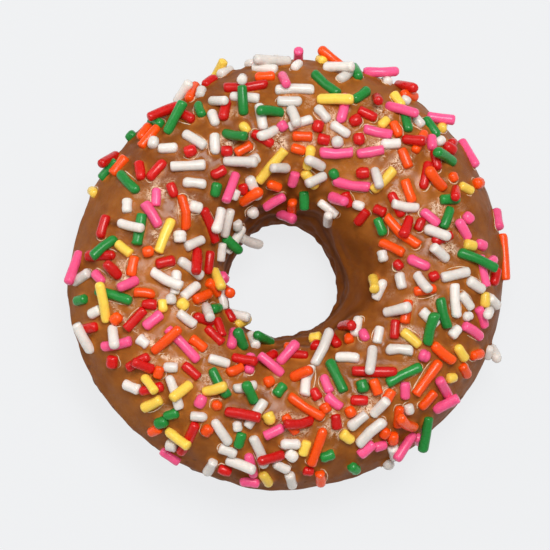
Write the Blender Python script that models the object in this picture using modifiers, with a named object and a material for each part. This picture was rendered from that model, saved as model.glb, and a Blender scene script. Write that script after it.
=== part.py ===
"""Baked ring doughnut with a caramel glaze and sugar sprinkles, lying glazed side up.

The ring is a torus whose section is a soft, slightly squared oval, flat underneath. The glaze is
a thin shell over the top of it, and the sprinkles are fused to the glaze. Lengths are in metres.
"""

import bmesh
import bpy
import numpy as np
from mathutils import Matrix, Vector
from mathutils.bvhtree import BVHTree

MM = 0.001

# Ring
RING_CENTRE = (-0.26 * MM, -1.39 * MM)
OUTER_RADIUS = 41.8 * MM
HOLE_RADIUS = 12.6 * MM
CROWN_HEIGHT = 25.0 * MM
WIDEST_HEIGHT = 9.5 * MM
THROAT_HEIGHT = 6.5 * MM
FLAT_CUT = 0.8 * MM
TOP_SQUARENESS = 2.15
UNDER_SQUARENESS = 2.25

# Slow waves: how many round the ring, how far, and the angle of the first crest in degrees
OUTLINE_WAVES = ((1, 0.23 * MM, -20), (2, 1.23 * MM, 40), (3, 0.40 * MM, -44), (4, 0.19 * MM, -3))
HOLE_WAVES = ((1, 0.83 * MM, -122), (2, 0.29 * MM, 67), (3, 0.45 * MM, -26), (4, 0.18 * MM, -25))
CROWN_WAVES = ((1, 0.30 * MM, 70), (2, 0.35 * MM, 20), (3, 0.25 * MM, 100))

# Section angles in degrees: 0 is the outer side, 90 the crown, 180 the side of the hole
OUTER_EDGE = 9.0
INNER_EDGE = 186.0
OUTER_EDGE_WAVES = ((1, 7.0, 212), (5, 1.3, 20), (9, 1.1, 8), (13, 0.7, 3))
INNER_EDGE_WAVES = ((2, 4.0, 60), (5, 2.5, 10), (8, 1.6, 25))

# Glaze
GAP = 0.3 * MM
GLAZE_THICKNESS = 0.9 * MM
STATIONS_ROUND = 56
ROWS_ROUND = 20
GLAZE_ROWS = 12

# Sprinkles
SEED = 7
SPRINKLE_COUNT = 396
SOLID_COUNT = 234
SPRINKLE_RADIUS = 1.0 * MM
SPRINKLE_SIDES = 5
LENGTH_MEAN = 4.8 * MM
LENGTH_SPREAD = 1.7 * MM
SHORTEST = 2.1 * MM
LONGEST = 8.8 * MM
STUB_SHARE = 0.12
RIDER_SHARE = 0.55
RIDER_TURN = 4.3 * MM
STANDING_SHARE = 0.05
SINK = 0.46 * MM
SINK_SPREAD = 0.07 * MM
EDGE_MARGIN = 7.0

COLOURS = {
    "white": (0.82, 0.755, 0.68),
    "orange": (0.93, 0.090, 0.003),
    "red": (0.61, 0.009, 0.006),
    "pink": (0.94, 0.092, 0.235),
    "green": (0.022, 0.225, 0.040),
    "yellow": (0.88, 0.560, 0.080),
}
COLOUR_SHARES = (0.35, 0.165, 0.19, 0.11, 0.09, 0.095)

# Places with fewer sprinkles: ring angle, section angle, the two spreads, share left out. A spread
# of 900 goes all the way round. Where less than BARE_BELOW is left, there are none at all.
BARE_PATCHES = (
    (0, 170, 900, 56, 0.92),
    (0, 28, 900, 31, 0.82),
    (12, 14, 58, 28, 0.90),
    (5, 136, 46, 33, 0.90),
    (345, 152, 34, 30, 0.85),
    (50, 165, 45, 24, 0.60),
    (325, 158, 45, 24, 0.60),
    (205, 42, 55, 18, 0.65),
    (287, 58, 22, 14, 0.45),
    (128, 50, 7, 13, 0.70),
    (166, 44, 10, 16, 0.80),
)
BARE_BELOW = 0.15

# Sprinkles placed one by one, those that stand out along the rim, at the hole and on the crown:
# ring angle, section angle, heading from the ring's direction, tilt up, length in mm, colour
PLACED = (
    (87, 20, 85, 38, 4.2, "pink"),
    (81, 23, 108, 0, 2.6, "yellow"),
    (63, 24, 100, 0, 3.6, "white"),
    (56, 30, 52, 0, 4.4, "orange"),
    (44, 31, 99, 0, 5.2, "yellow"),
    (34, 19, 156, 0, 6.8, "pink"),
    (15, 21, 144, 0, 5.0, "pink"),
    (5, 19, 0, 0, 9.4, "orange"),
    (339, 20, 53, 0, 3.2, "white"),
    (308, 25, 95, 0, 3.8, "pink"),
    (132, 35, 97, 0, 4.4, "green"),
    (137, 43, 8, 0, 5.6, "orange"),
    (153, 56, 74, 0, 6.7, "green"),
    (183, 40, 109, 0, 5.0, "white"),
    (189, 39, 90, 0, 3.2, "green"),
    (197, 42, 84, 0, 4.8, "red"),
    (87, 150, 95, 0, 4.8, "orange"),
    (141, 160, 112, 24, 6.6, "white"),
    (226, 150, 80, 16, 5.4, "yellow"),
    (216, 97, 9, 0, 8.7, "pink"),
    (322, 46, 81, 0, 8.6, "pink"),
    (102, 113, 36, 0, 8.4, "yellow"),
    (308, 94, 142, 0, 8.8, "red"),
    (316, 81, 162, 0, 7.6, "green"),
    (321, 67, 5, 0, 8.2, "orange"),
    (18, 105, 29, 0, 8.8, "orange"),
    (104, 54, 161, 0, 8.8, "red"),
    (190, 67, 66, 0, 7.8, "green"),
    (292, 104, 91, 0, 7.2, "green"),
    (239, 51, 93, 0, 8.2, "red"),
    (8, 121, 0, 0, 2.4, "white"),
    (347, 124, 161, 0, 4.4, "white"),
    (353, 110, 17, 0, 3.3, "white"),
    (36, 124, 104, 0, 3.8, "red"),
    (51, 124, 151, 0, 3.2, "red"),
)


def waves(angle, terms):
    """Sum of cosine waves round the ring, each with its count, height and first crest."""
    total = np.zeros_like(np.asarray(angle, dtype=float))
    for count, height, crest in terms:
        total = total + height * np.cos(count * (angle - np.radians(crest)))
    return total


def glaze_edges(angle):
    """Section angles, in radians, where the glaze ends on the outer side and in the hole."""
    outer = OUTER_EDGE + waves(angle, OUTER_EDGE_WAVES)
    inner = INNER_EDGE + waves(angle, INNER_EDGE_WAVES)
    return np.radians(outer), np.radians(inner)


def crust(angle, section):
    """Point of the crust: a squared oval round the middle of the ring's band, cut flat below."""
    outer = OUTER_RADIUS + waves(angle, OUTLINE_WAVES)
    hole = HOLE_RADIUS + waves(angle, HOLE_WAVES)
    crown = CROWN_HEIGHT + waves(angle, CROWN_WAVES)
    middle, half = (outer + hole) / 2, (outer - hole) / 2
    across, upward = np.cos(section), np.sin(section)
    power = 2 / np.where(upward > 0, TOP_SQUARENESS, UNDER_SQUARENESS)
    across = np.sign(across) * np.abs(across) ** power
    upward = np.sign(upward) * np.abs(upward) ** power
    side = (WIDEST_HEIGHT + THROAT_HEIGHT) / 2 + (WIDEST_HEIGHT - THROAT_HEIGHT) / 2 * across
    reach = np.where(upward > 0, crown - side, side + FLAT_CUT)
    radius = middle + half * across
    return np.stack([
        RING_CENTRE[0] + radius * np.cos(angle),
        RING_CENTRE[1] + radius * np.sin(angle),
        np.maximum(side + reach * upward, 0.0),
    ], axis=-1)


def crust_frame(angle, section):
    """Directions at a point of the crust: along the ring, round the section, and outward."""
    step = 1e-4
    along = crust(angle + step, section) - crust(angle - step, section)
    around = crust(angle, section + step) - crust(angle, section - step)
    along = along / np.linalg.norm(along, axis=-1, keepdims=True)
    outward = np.cross(along, around)
    outward = outward / np.linalg.norm(outward, axis=-1, keepdims=True)
    return along, np.cross(outward, along), outward


def glaze(angle, section, depth=0.0):
    """Point of the glaze's outer face, or that far below it."""
    outward = crust_frame(angle, section)[2]
    return crust(angle, section) + (GAP + GLAZE_THICKNESS - depth) * outward


def glaze_tree():
    """Fine net of the glaze's outer face, for measuring how high a point is above it."""
    angle = np.linspace(0, 2 * np.pi, 240, endpoint=False)[:, None]
    outer, inner = glaze_edges(angle)
    section = outer + (inner - outer) * np.linspace(0, 1, 81)[None, :]
    angle = angle + 0 * section
    points = glaze(angle, section).reshape(-1, 3)
    i, j = np.meshgrid(np.arange(240), np.arange(80), indexing="ij")
    k = (i + 1) % 240
    faces = np.stack([i * 81 + j, k * 81 + j, k * 81 + j + 1, i * 81 + j + 1], axis=-1).reshape(-1, 4)
    return BVHTree.FromPolygons(points.tolist(), faces.tolist())


def height_above(tree, point):
    """Signed height of a point above the glaze."""
    nearest, normal, _, _ = tree.find_nearest(Vector(point))
    return (Vector(point) - nearest).dot(normal)


def segment_gap(start, end, starts, ends):
    """Shortest distance from one segment to each of several others."""
    if len(starts) == 0:
        return np.array([1.0])
    steps = np.linspace(0, 1, 15)[:, None]
    line = start + (end - start) * steps
    span = ends - starts
    along = line[:, None, :] - starts[None]
    share = np.clip((along * span).sum(-1) / (span * span).sum(-1), 0, 1)
    return np.linalg.norm(along - share[..., None] * span[None], axis=-1).min(axis=0)


class Sprinkles:
    """The sprinkles laid so far: axis ends, radius and colour of each."""

    def __init__(self):
        self.tree = glaze_tree()
        self.rows = []

    def core(self, skip=None):
        rows = [row for number, row in enumerate(self.rows) if number != skip]
        starts = np.array([row["start"] for row in rows]).reshape(-1, 3)
        ends = np.array([row["end"] for row in rows]).reshape(-1, 3)
        radii = np.array([row["radius"] for row in rows])
        return starts, ends, radii

    def clear(self, start, end, radius, share, skip=None):
        starts, ends, radii = self.core(skip)
        if len(radii) == 0:
            return True
        return bool(np.all(segment_gap(start, end, starts, ends) > share * (radii + radius)))

    def add(self, start, end, radius, colour, kind):
        outward = np.array(self.tree.find_nearest(Vector((start + end) / 2))[1])
        self.rows.append(dict(start=start, end=end, radius=radius, colour=colour, kind=kind,
                              outward=outward))

    def settle(self, start, end, radius, sink, outward):
        """Move a sprinkle along the outward direction until it is sunk as deep as asked."""
        for _ in range(3):
            heights = [height_above(self.tree, start + (end - start) * s) for s in (0, 0.25, 0.5, 0.75, 1)]
            shift = (radius - sink - min(heights)) * outward
            start, end = start + shift, end + shift
        return start, end

    def lay(self, angle, section, heading, length, radius, sink, tilt=0.0):
        """Axis ends of a sprinkle lying on the glaze, or standing up from it by the tilt."""
        along, around, outward = crust_frame(angle, section)
        flat = np.cos(heading) * along + np.sin(heading) * around
        core = max(length - 2 * radius, 0.05 * MM)
        middle = glaze(angle, section)
        if tilt == 0.0:
            start, end = middle - flat * core / 2, middle + flat * core / 2
        else:
            direction = np.cos(tilt) * flat + np.sin(tilt) * outward
            start, end = middle, middle + direction * core
        return self.settle(start, end, radius, sink, outward)


def density(angle, section):
    """Share of full density at a place on the glaze."""
    share = 1.0
    for ring, across, ring_spread, across_spread, left_out in BARE_PATCHES:
        turn = (np.degrees(angle) - ring + 180) % 360 - 180
        off = (turn / ring_spread) ** 2 + ((np.degrees(section) - across) / across_spread) ** 2
        share *= 1 - left_out * np.exp(-off)
    return share if share > BARE_BELOW else 0.0


def random_place(draw):
    """Ring angle and section angle, spread evenly as seen from above and then thinned."""
    while True:
        angle = draw.uniform(0, 2 * np.pi)
        outer, inner = glaze_edges(angle)
        margin = np.radians(EDGE_MARGIN)
        section = draw.uniform(outer + margin, inner - margin)
        step = 1e-3
        along = crust(angle + step, section) - crust(angle - step, section)
        around = crust(angle, section + step) - crust(angle, section - step)
        patch = np.cross(along, around) / (2 * step) ** 2
        area = 0.12 * np.linalg.norm(patch) + 0.88 * max(patch[2], 0.0)
        if draw.uniform() < density(angle, section) * area / (900 * MM * MM):
            return angle, section


def scatter():
    """All the sprinkles: those placed one by one, then the rest by a seeded rule, long ones first."""
    draw = np.random.default_rng(SEED)
    field = Sprinkles()
    for ring, across, heading, tilt, length, colour in PLACED:
        start, end = field.lay(np.radians(ring), np.radians(across), np.radians(heading),
                               length * MM, SPRINKLE_RADIUS, SINK, np.radians(tilt))
        field.add(start, end, SPRINKLE_RADIUS, colour, "placed")
    count = SPRINKLE_COUNT - len(field.rows)
    lengths = np.clip(draw.normal(LENGTH_MEAN, LENGTH_SPREAD, count), SHORTEST, LONGEST)
    stub = draw.uniform(size=count) < STUB_SHARE
    lengths = np.where(stub, draw.uniform(2.1 * MM, 2.7 * MM, count), lengths)
    radii = SPRINKLE_RADIUS * draw.uniform(0.95, 1.05, count) * np.where(stub, 1.15, 1.0)
    kinds = draw.choice(["flat", "rider", "standing"], count,
                        p=[1 - RIDER_SHARE - STANDING_SHARE, RIDER_SHARE, STANDING_SHARE])
    least = np.select([kinds == "rider", kinds == "standing"], [4.2 * MM, 3.6 * MM], 0.0)
    kinds = np.where(lengths < least, "flat", kinds)
    colours = draw.choice(list(COLOURS), count, p=COLOUR_SHARES)
    turns = np.where(kinds == "rider", RIDER_TURN, lengths)
    order = sorted(range(count), key=lambda n: -turns[n])
    hosts = set()
    for number in order:
        length, radius, kind = lengths[number], radii[number], kinds[number]
        for attempt in range(800):
            if kind == "rider" and attempt == 400:
                kind = "flat"
            sink = SINK + draw.uniform(-1, 1) * SINK_SPREAD
            heading = draw.uniform(0, np.pi)
            host = None
            if kind == "rider":
                host = int(draw.integers(len(field.rows)))
                spot = ride_over(field, host, hosts, length, radius, sink, draw)
                if spot is None:
                    continue
                start, end = spot
            else:
                angle, section = random_place(draw)
                tilt = draw.uniform(0.3, 0.75) if kind == "standing" else 0.0
                heading = draw.uniform(0, 2 * np.pi) if kind == "standing" else heading
                start, end = field.lay(angle, section, heading, length, radius, sink, tilt)
            if field.clear(start, end, radius, 0.93, host):
                field.add(start, end, radius, str(colours[number]), str(kind))
                if host is not None:
                    hosts.add(host)
                break
    return field.rows


def ride_over(field, host, hosts, length, radius, sink, draw):
    """Axis ends of a sprinkle with one end on the glaze, lying across another sprinkle."""
    under = field.rows[host]
    if host in hosts or under["kind"] == "rider" or under["kind"] == "standing":
        return None
    across = under["start"] + (under["end"] - under["start"]) * draw.uniform(0.1, 0.9)
    nearest, normal, _, _ = field.tree.find_nearest(Vector(across))
    outward = np.array(normal)
    axis = under["end"] - under["start"]
    axis = axis / max(np.linalg.norm(axis), 1e-9)
    side = np.cross(outward, axis)
    turn = draw.uniform(-0.7, 0.7)
    flat = (side * np.cos(turn) + axis * np.sin(turn)) * draw.choice([-1, 1])
    flat = flat - outward * flat.dot(outward)
    flat = flat / np.linalg.norm(flat)
    core = length - 2 * radius
    reach = min(draw.uniform(0.55, 0.9) * core + 0.9 * MM, core)
    top = across + outward * (under["radius"] + radius) * 0.93
    low = top - flat * reach
    drop = height_above(field.tree, low) - (radius - sink)
    low = low - outward * drop
    direction = (top - low) / np.linalg.norm(top - low)
    if direction.dot(outward) > 0.68 or np.linalg.norm(top - low) > core + 0.3 * MM:
        return None
    end = low + direction * core
    if height_above(field.tree, end) < 0.5 * radius:
        return None
    return low, end


def material(name, colour, roughness):
    """Principled material of one colour."""
    made = bpy.data.materials.new(name)
    made.use_nodes = True
    shader = made.node_tree.nodes["Principled BSDF"]
    shader.inputs["Base Color"].default_value = (*colour, 1.0)
    shader.inputs["Roughness"].default_value = roughness
    shader.inputs["Metallic"].default_value = 0.0
    return made


def section_rows():
    """Ring angle and section angle of each point of the ring's net, glaze rows first."""
    angle = np.arange(STATIONS_ROUND)[:, None] * 2 * np.pi / STATIONS_ROUND
    outer, inner = glaze_edges(angle)
    row = np.arange(ROWS_ROUND)[None, :]
    last = GLAZE_ROWS - 1
    top = outer + (inner - outer) * row / last
    under = inner + (outer + 2 * np.pi - inner) * (row - last) / (ROWS_ROUND - last)
    return angle + 0 * top, np.where(row <= last, top, under)


def make_cake(collection):
    """The ring: a torus with each point moved to its place on the crust."""
    bpy.ops.mesh.primitive_torus_add(major_segments=STATIONS_ROUND, minor_segments=ROWS_ROUND,
                                     major_radius=0.027, minor_radius=0.014)
    cake = bpy.context.object
    cake.name = cake.data.name = "cake"
    angle, section = section_rows()
    cake.data.vertices.foreach_set("co", crust(angle, section).reshape(-1))
    cake.data.update()
    cake.data.materials.clear()
    cake.data.materials.append(material("crust", (0.19, 0.064, 0.022), 0.62))
    move_to(cake, collection)
    return cake


def make_icing(collection):
    """The glaze: the top rows of the same net, raised by the gap and thickened outward."""
    bpy.ops.mesh.primitive_torus_add(major_segments=STATIONS_ROUND, minor_segments=ROWS_ROUND,
                                     major_radius=0.027, minor_radius=0.014)
    icing = bpy.context.object
    icing.name = icing.data.name = "icing"
    angle, section = section_rows()
    points = glaze(angle, section, GLAZE_THICKNESS)
    icing.data.vertices.foreach_set("co", points.reshape(-1))
    keep_rows(icing.data, GLAZE_ROWS)
    icing.data.materials.clear()
    icing.data.materials.append(material("glaze", (0.40, 0.112, 0.013), 0.28))
    move_to(icing, collection)
    shell = icing.modifiers.new("thickness", "SOLIDIFY")
    shell.thickness = GLAZE_THICKNESS
    shell.offset = 1.0
    apply_modifiers(icing)
    return icing


def keep_rows(mesh, rows):
    """Leave only the faces between the first rows of a ring's net."""
    net = bmesh.new()
    net.from_mesh(mesh)
    net.verts.ensure_lookup_table()
    gone = [vertex for vertex in net.verts if vertex.index % ROWS_ROUND >= rows]
    bmesh.ops.delete(net, geom=gone, context="VERTS")
    net.to_mesh(mesh)
    net.free()
    mesh.update()


def move_to(item, collection):
    """Put an object in one collection only."""
    for other in list(item.users_collection):
        other.objects.unlink(item)
    collection.objects.link(item)


def apply_modifiers(item):
    """Replace an object's mesh by the one its modifiers make."""
    graph = bpy.context.evaluated_depsgraph_get()
    made = bpy.data.meshes.new_from_object(item.evaluated_get(graph))
    item.modifiers.clear()
    item.data = made
    made.name = item.name


def make_sprinkle(row, number, materials, collection):
    """One sprinkle: a five-sided rod between its axis ends, one flat side down on the glaze."""
    along = Vector(row["end"] - row["start"])
    length = along.length + 1.7 * row["radius"]
    along.normalize()
    outward = Vector(row["outward"])
    upward = (outward - along * outward.dot(along)).normalized()
    rod = bmesh.new()
    bmesh.ops.create_cone(rod, cap_ends=True, segments=SPRINKLE_SIDES, depth=length,
                          radius1=1.06 * row["radius"], radius2=1.06 * row["radius"])
    mesh = bpy.data.meshes.new(f"sprinkle_{number:03d}")
    rod.to_mesh(mesh)
    rod.free()
    mesh.materials.append(materials[row["colour"]])
    item = bpy.data.objects.new(mesh.name, mesh)
    turn = Matrix((along.cross(upward), -upward, along)).transposed().to_4x4()
    middle = Matrix.Translation(Vector((row["start"] + row["end"]) / 2))
    item.matrix_world = middle @ turn @ Matrix.Rotation(np.pi / SPRINKLE_SIDES, 4, "Z")
    collection.objects.link(item)


def fuse(item, pieces):
    """Join a collection of pieces to an object, then remove the pieces."""
    joint = item.modifiers.new("sprinkles", "BOOLEAN")
    joint.operation = "UNION"
    joint.operand_type = "COLLECTION"
    joint.collection = pieces
    joint.solver = "EXACT"
    joint.material_mode = "TRANSFER"
    apply_modifiers(item)
    for piece in list(pieces.objects):
        bpy.data.objects.remove(piece)
    bpy.data.collections.remove(pieces)


def main():
    for item in list(bpy.data.objects):
        bpy.data.objects.remove(item)
    scene = bpy.context.scene
    doughnut = bpy.data.collections.new("baked_doughnut")
    scene.collection.children.link(doughnut)
    pieces = bpy.data.collections.new("sprinkles")
    scene.collection.children.link(pieces)

    cake = make_cake(doughnut)
    icing = make_icing(doughnut)
    materials = {name: material("sprinkle_" + name, colour, 0.35) for name, colour in COLOURS.items()}
    rows = sorted(scatter(), key=lambda row: -np.linalg.norm(row["end"] - row["start"]))
    for number, row in enumerate(rows[:SOLID_COUNT]):
        make_sprinkle(row, number, materials, pieces)
    fuse(icing, pieces)
    for item in (cake, icing):
        item.data.shade_smooth()
        item.data.set_sharp_from_angle(angle=np.radians(50))


if __name__ == "__main__":
    main()
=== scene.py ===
"""Finish of the baked ring doughnut: browned crust, caramel glaze, sugar sprinkles, and the stage.

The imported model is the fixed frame. Each piece here is worked out from the same named sizes as the
solids, so it lies where they are, and carries the fine relief that the solids leave out.
"""

import bpy
import numpy as np
from bpy.props import FloatProperty, FloatVectorProperty, IntProperty, PointerProperty
from bpy.types import Operator, Panel, PropertyGroup
from mathutils import Matrix, Vector
from mathutils.bvhtree import BVHTree


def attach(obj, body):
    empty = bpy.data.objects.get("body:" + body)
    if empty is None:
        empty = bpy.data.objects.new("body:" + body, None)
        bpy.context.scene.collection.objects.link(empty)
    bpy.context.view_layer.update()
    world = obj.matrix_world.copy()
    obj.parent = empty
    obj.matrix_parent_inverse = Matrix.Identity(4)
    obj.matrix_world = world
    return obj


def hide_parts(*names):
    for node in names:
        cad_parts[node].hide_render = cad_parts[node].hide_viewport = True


bl_info = {
    "name": "Baked doughnut",
    "version": (1, 0, 0),
    "blender": (4, 5, 0),
    "location": "3D View > Sidebar > Doughnut",
    "description": "Browned crust, caramel glaze and sugar sprinkles of a baked ring doughnut",
    "category": "Add Mesh",
}

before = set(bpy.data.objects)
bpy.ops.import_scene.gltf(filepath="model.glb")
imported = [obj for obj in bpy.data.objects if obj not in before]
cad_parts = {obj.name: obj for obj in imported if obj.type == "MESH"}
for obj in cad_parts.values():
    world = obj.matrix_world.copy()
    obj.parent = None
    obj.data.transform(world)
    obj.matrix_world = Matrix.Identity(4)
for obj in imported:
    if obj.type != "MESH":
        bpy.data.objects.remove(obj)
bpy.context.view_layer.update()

MM = 0.001

# Ring
RING_CENTRE = (-0.26 * MM, -1.39 * MM)
OUTER_RADIUS = 41.8 * MM
HOLE_RADIUS = 12.6 * MM
CROWN_HEIGHT = 25.0 * MM
WIDEST_HEIGHT = 9.5 * MM
THROAT_HEIGHT = 6.5 * MM
FLAT_CUT = 0.8 * MM
TOP_SQUARENESS = 2.15
UNDER_SQUARENESS = 2.25

# Slow waves: how many round the ring, how far, and the angle of the first crest in degrees
OUTLINE_WAVES = ((1, 0.23 * MM, -20), (2, 1.23 * MM, 40), (3, 0.40 * MM, -44), (4, 0.19 * MM, -3))
HOLE_WAVES = ((1, 0.83 * MM, -122), (2, 0.29 * MM, 67), (3, 0.45 * MM, -26), (4, 0.18 * MM, -25))
CROWN_WAVES = ((1, 0.30 * MM, 70), (2, 0.35 * MM, 20), (3, 0.25 * MM, 100))

# Section angles in degrees: 0 is the outer side, 90 the crown, 180 the side of the hole
OUTER_EDGE = 9.0
INNER_EDGE = 186.0
OUTER_EDGE_WAVES = ((1, 7.0, 212), (5, 1.3, 20), (9, 1.1, 8), (13, 0.7, 3))
INNER_EDGE_WAVES = ((2, 4.0, 60), (5, 2.5, 10), (8, 1.6, 25))

# Change of the glaze's tone round the ring, as a share of the way from its dark to its light
TONE_WAVES = ((2, 0.22, 39), (3, 0.16, 68))

# Glaze over the crust, and its length round the section
GAP = 0.3 * MM
GLAZE_THICKNESS = 0.9 * MM
GLAZE_REACH = 44.0 * MM

# Sprinkles
SEED = 7
SPRINKLE_COUNT = 396
SPRINKLE_RADIUS = 1.0 * MM
LENGTH_MEAN = 4.8 * MM
LENGTH_SPREAD = 1.7 * MM
SHORTEST = 2.1 * MM
LONGEST = 8.8 * MM
STUB_SHARE = 0.12
STUB_LENGTHS = (2.1 * MM, 2.7 * MM)
RIDER_SHARE = 0.55
RIDER_TURN = 4.3 * MM
RIDER_LEAST = 4.2 * MM
STANDING_SHARE = 0.05
STANDING_LEAST = 3.6 * MM
ATTEMPTS = 800
SINK = 0.46 * MM
SINK_SPREAD = 0.07 * MM
CLEARANCE = 0.93
EDGE_MARGIN = 7.0

# Linear colours, and how the seeded sprinkles are shared out among them
COLOURS = {
    "white": (0.80, 0.735, 0.67),
    "orange": (0.98, 0.085, 0.0015),
    "red": (0.63, 0.006, 0.004),
    "pink": (1.0, 0.105, 0.275),
    "green": (0.014, 0.25, 0.038),
    "yellow": (0.98, 0.64, 0.085),
}
COLOUR_SHARES = (0.35, 0.165, 0.19, 0.11, 0.09, 0.095)

# Places with fewer sprinkles: ring angle, section angle, the two spreads, share left out. A spread
# of 900 goes all the way round. Where less than BARE_BELOW is left, there are none at all.
BARE_PATCHES = (
    (0, 170, 900, 56, 0.92),
    (0, 28, 900, 31, 0.82),
    (12, 14, 58, 28, 0.90),
    (5, 136, 46, 33, 0.90),
    (345, 152, 34, 30, 0.85),
    (50, 165, 45, 24, 0.60),
    (325, 158, 45, 24, 0.60),
    (205, 42, 55, 18, 0.65),
    (287, 58, 22, 14, 0.45),
    (128, 50, 7, 13, 0.70),
    (166, 44, 10, 16, 0.80),
)
BARE_BELOW = 0.15

# Sprinkles placed one by one, those that stand out along the rim, at the hole and on the crown:
# ring angle, section angle, heading from the ring's direction, tilt up, length in mm, colour
PLACED = (
    (87, 20, 85, 38, 4.2, "pink"), (81, 23, 108, 0, 2.6, "yellow"), (63, 24, 100, 0, 3.6, "white"),
    (56, 30, 52, 0, 4.4, "orange"), (44, 31, 99, 0, 5.2, "yellow"), (34, 19, 156, 0, 6.8, "pink"),
    (15, 21, 144, 0, 5.0, "pink"), (5, 19, 0, 0, 9.4, "orange"), (339, 20, 53, 0, 3.2, "white"),
    (308, 25, 95, 0, 3.8, "pink"), (132, 35, 97, 0, 4.4, "green"), (137, 43, 8, 0, 5.6, "orange"),
    (153, 56, 74, 0, 6.7, "green"), (183, 40, 109, 0, 5.0, "white"), (189, 39, 90, 0, 3.2, "green"),
    (197, 42, 84, 0, 4.8, "red"), (87, 150, 95, 0, 4.8, "orange"), (141, 160, 112, 24, 6.6, "white"),
    (226, 150, 80, 16, 5.4, "yellow"), (216, 97, 9, 0, 8.7, "pink"), (322, 46, 81, 0, 8.6, "pink"),
    (102, 113, 36, 0, 8.4, "yellow"), (308, 94, 142, 0, 8.8, "red"), (316, 81, 162, 0, 7.6, "green"),
    (321, 67, 5, 0, 8.2, "orange"), (18, 105, 29, 0, 8.8, "orange"), (104, 54, 161, 0, 8.8, "red"),
    (190, 67, 66, 0, 7.8, "green"), (292, 104, 91, 0, 7.2, "green"), (239, 51, 93, 0, 8.2, "red"),
    (8, 121, 0, 0, 2.4, "white"), (347, 124, 161, 0, 4.4, "white"), (353, 110, 17, 0, 3.3, "white"),
    (36, 124, 104, 0, 3.8, "red"), (51, 124, 151, 0, 3.2, "red"),
)

# Dried, wrinkled places on the crown, painted pale partly as glints of the light: ring angle, section
# angle, radius in mm
CRINKLE_GLINT_SPOTS = (
    (183, 70, 2.2), (152, 78, 2.0), (151, 100, 2.2), (170, 92, 1.8), (55, 85, 2.4), (44, 84, 2.0),
    (97, 99, 1.8), (84, 97, 1.6), (76, 82, 1.7), (271, 77, 2.2), (285, 73, 2.0),
    (298, 77, 2.0), (7, 83, 2.3), (330, 96, 1.5), (118, 88, 1.7), (60, 64, 1.8), (22, 80, 1.5),
)

# Long dried folds of skin, painted pale partly as glints: the ring angle and the section angle at both
# ends, and the width
CREASE_GLINT_LINES = (
    (192, 66, 221, 91, 0.50 * MM),
    (280, 95, 288, 76, 0.42 * MM),
    (93, 82, 99, 104, 0.42 * MM),
    (43, 76, 47, 100, 0.40 * MM),
)

# A groove pressed into the glaze: ring angle, section angle, length, width, depth
GROOVE = (167, 56, 4.4 * MM, 1.2 * MM, 0.42 * MM)

# Random fields of the surfaces: share of the height, length, seed. Then the heights and sizes of
# the pores in the crust, of the pits low on the glaze, and of the bead along its edges.
CRUST_FIELDS = ((0.9, 11 * MM, 21), (0.5, 4.5 * MM, 22), (0.22, 1.9 * MM, 23), (0.12, 1.0 * MM, 24))
SWELL_FIELDS = ((0.7, 9 * MM, 41), (0.5, 4 * MM, 42))
THROAT_FIELD = ((0.13 * MM, 2.3 * MM, 48),)
CRUST_DROP = 0.9
PORE_DEPTH = 0.42 * MM
PORE_SIZE = 1.1 * MM
PIT_COUNT, PIT_DEPTH, PIT_SIZE = 34, 0.16 * MM, 0.45 * MM
BEAD_HEIGHT = 0.16 * MM

# Threads of glaze at the sprinkles' feet, their paleness a painted highlight: their share, then the
# least and the most distance from the sprinkle and radius, in mm
RIM_SHARE = 0.55
RIM_OFFSET = (0.22, 0.42)
RIM_RADIUS = (0.08, 0.15)

# Fineness: points round the ring, then along the section
TREE_NET = (240, 81)
CRUST_STATIONS, COVERED_STEPS, BARE_STEPS = 640, 28, 124
GLAZE_STATIONS, TOP_STEPS, UNDER_STEPS = 720, 110, 14

# View: the camera's lean from straight above, the side it leans to, its distance, its scale at
# the ring, the picture's width in pixels, and the place that stands at a pixel of the picture
LEAN = 9.0
LEAN_TOWARDS = 235.0
DISTANCE = 500.0 * MM
PIXELS_PER_METRE = 5040.0
PICTURE_WIDTH = 550.0
AIM = (0.17 * MM, -0.75 * MM, 9.5 * MM)
AIM_PIXEL = (287.0, 274.0)

# Lamps: place and size in metres. The floor lies just under the ring.
MAIN_LAMP = ((0.04, 0.18, 0.78), (0.38, 0.32))
SIDE_LAMP = ((-0.50, 0.20, 0.45), (0.35, 0.35))
FLOOR_DROP = 0.2 * MM
FLOOR_LIGHT = (0.975, 0.985, 1.0, 1.0)


def length_property(name, description, default):
    """A length in metres for a property group."""
    return FloatProperty(name=name, description=description, default=default, min=0.0,
                         precision=5, unit="LENGTH")


def colour_property(name, description, default):
    """A linear colour for a property group."""
    return FloatVectorProperty(name=name, description=description, default=default, size=3,
                               min=0.0, max=1.0, subtype="COLOR")


class RingSizes(PropertyGroup):
    """Sizes of the baked ring."""

    outer_radius: length_property("Outer radius", "Mean radius at the widest place", OUTER_RADIUS)
    hole_radius: length_property("Hole radius", "Mean radius of the hole", HOLE_RADIUS)
    crown_height: length_property("Crown height", "Mean height of the crust's crown", CROWN_HEIGHT)
    widest_height: length_property("Widest height", "Height of the widest place", WIDEST_HEIGHT)
    throat_height: length_property("Throat height", "Height of the hole's throat", THROAT_HEIGHT)
    relief: length_property("Crust relief", "Height of the crust's unevenness", 0.22 * MM)
    pore_count: IntProperty(name="Pores", description="Open pores in the crust", default=520, min=0)
    crust: colour_property("Crust", "Browned crust", (0.175, 0.062, 0.019))
    risen: colour_property("Risen side", "Paler crust underneath", (0.40, 0.185, 0.062))


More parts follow.
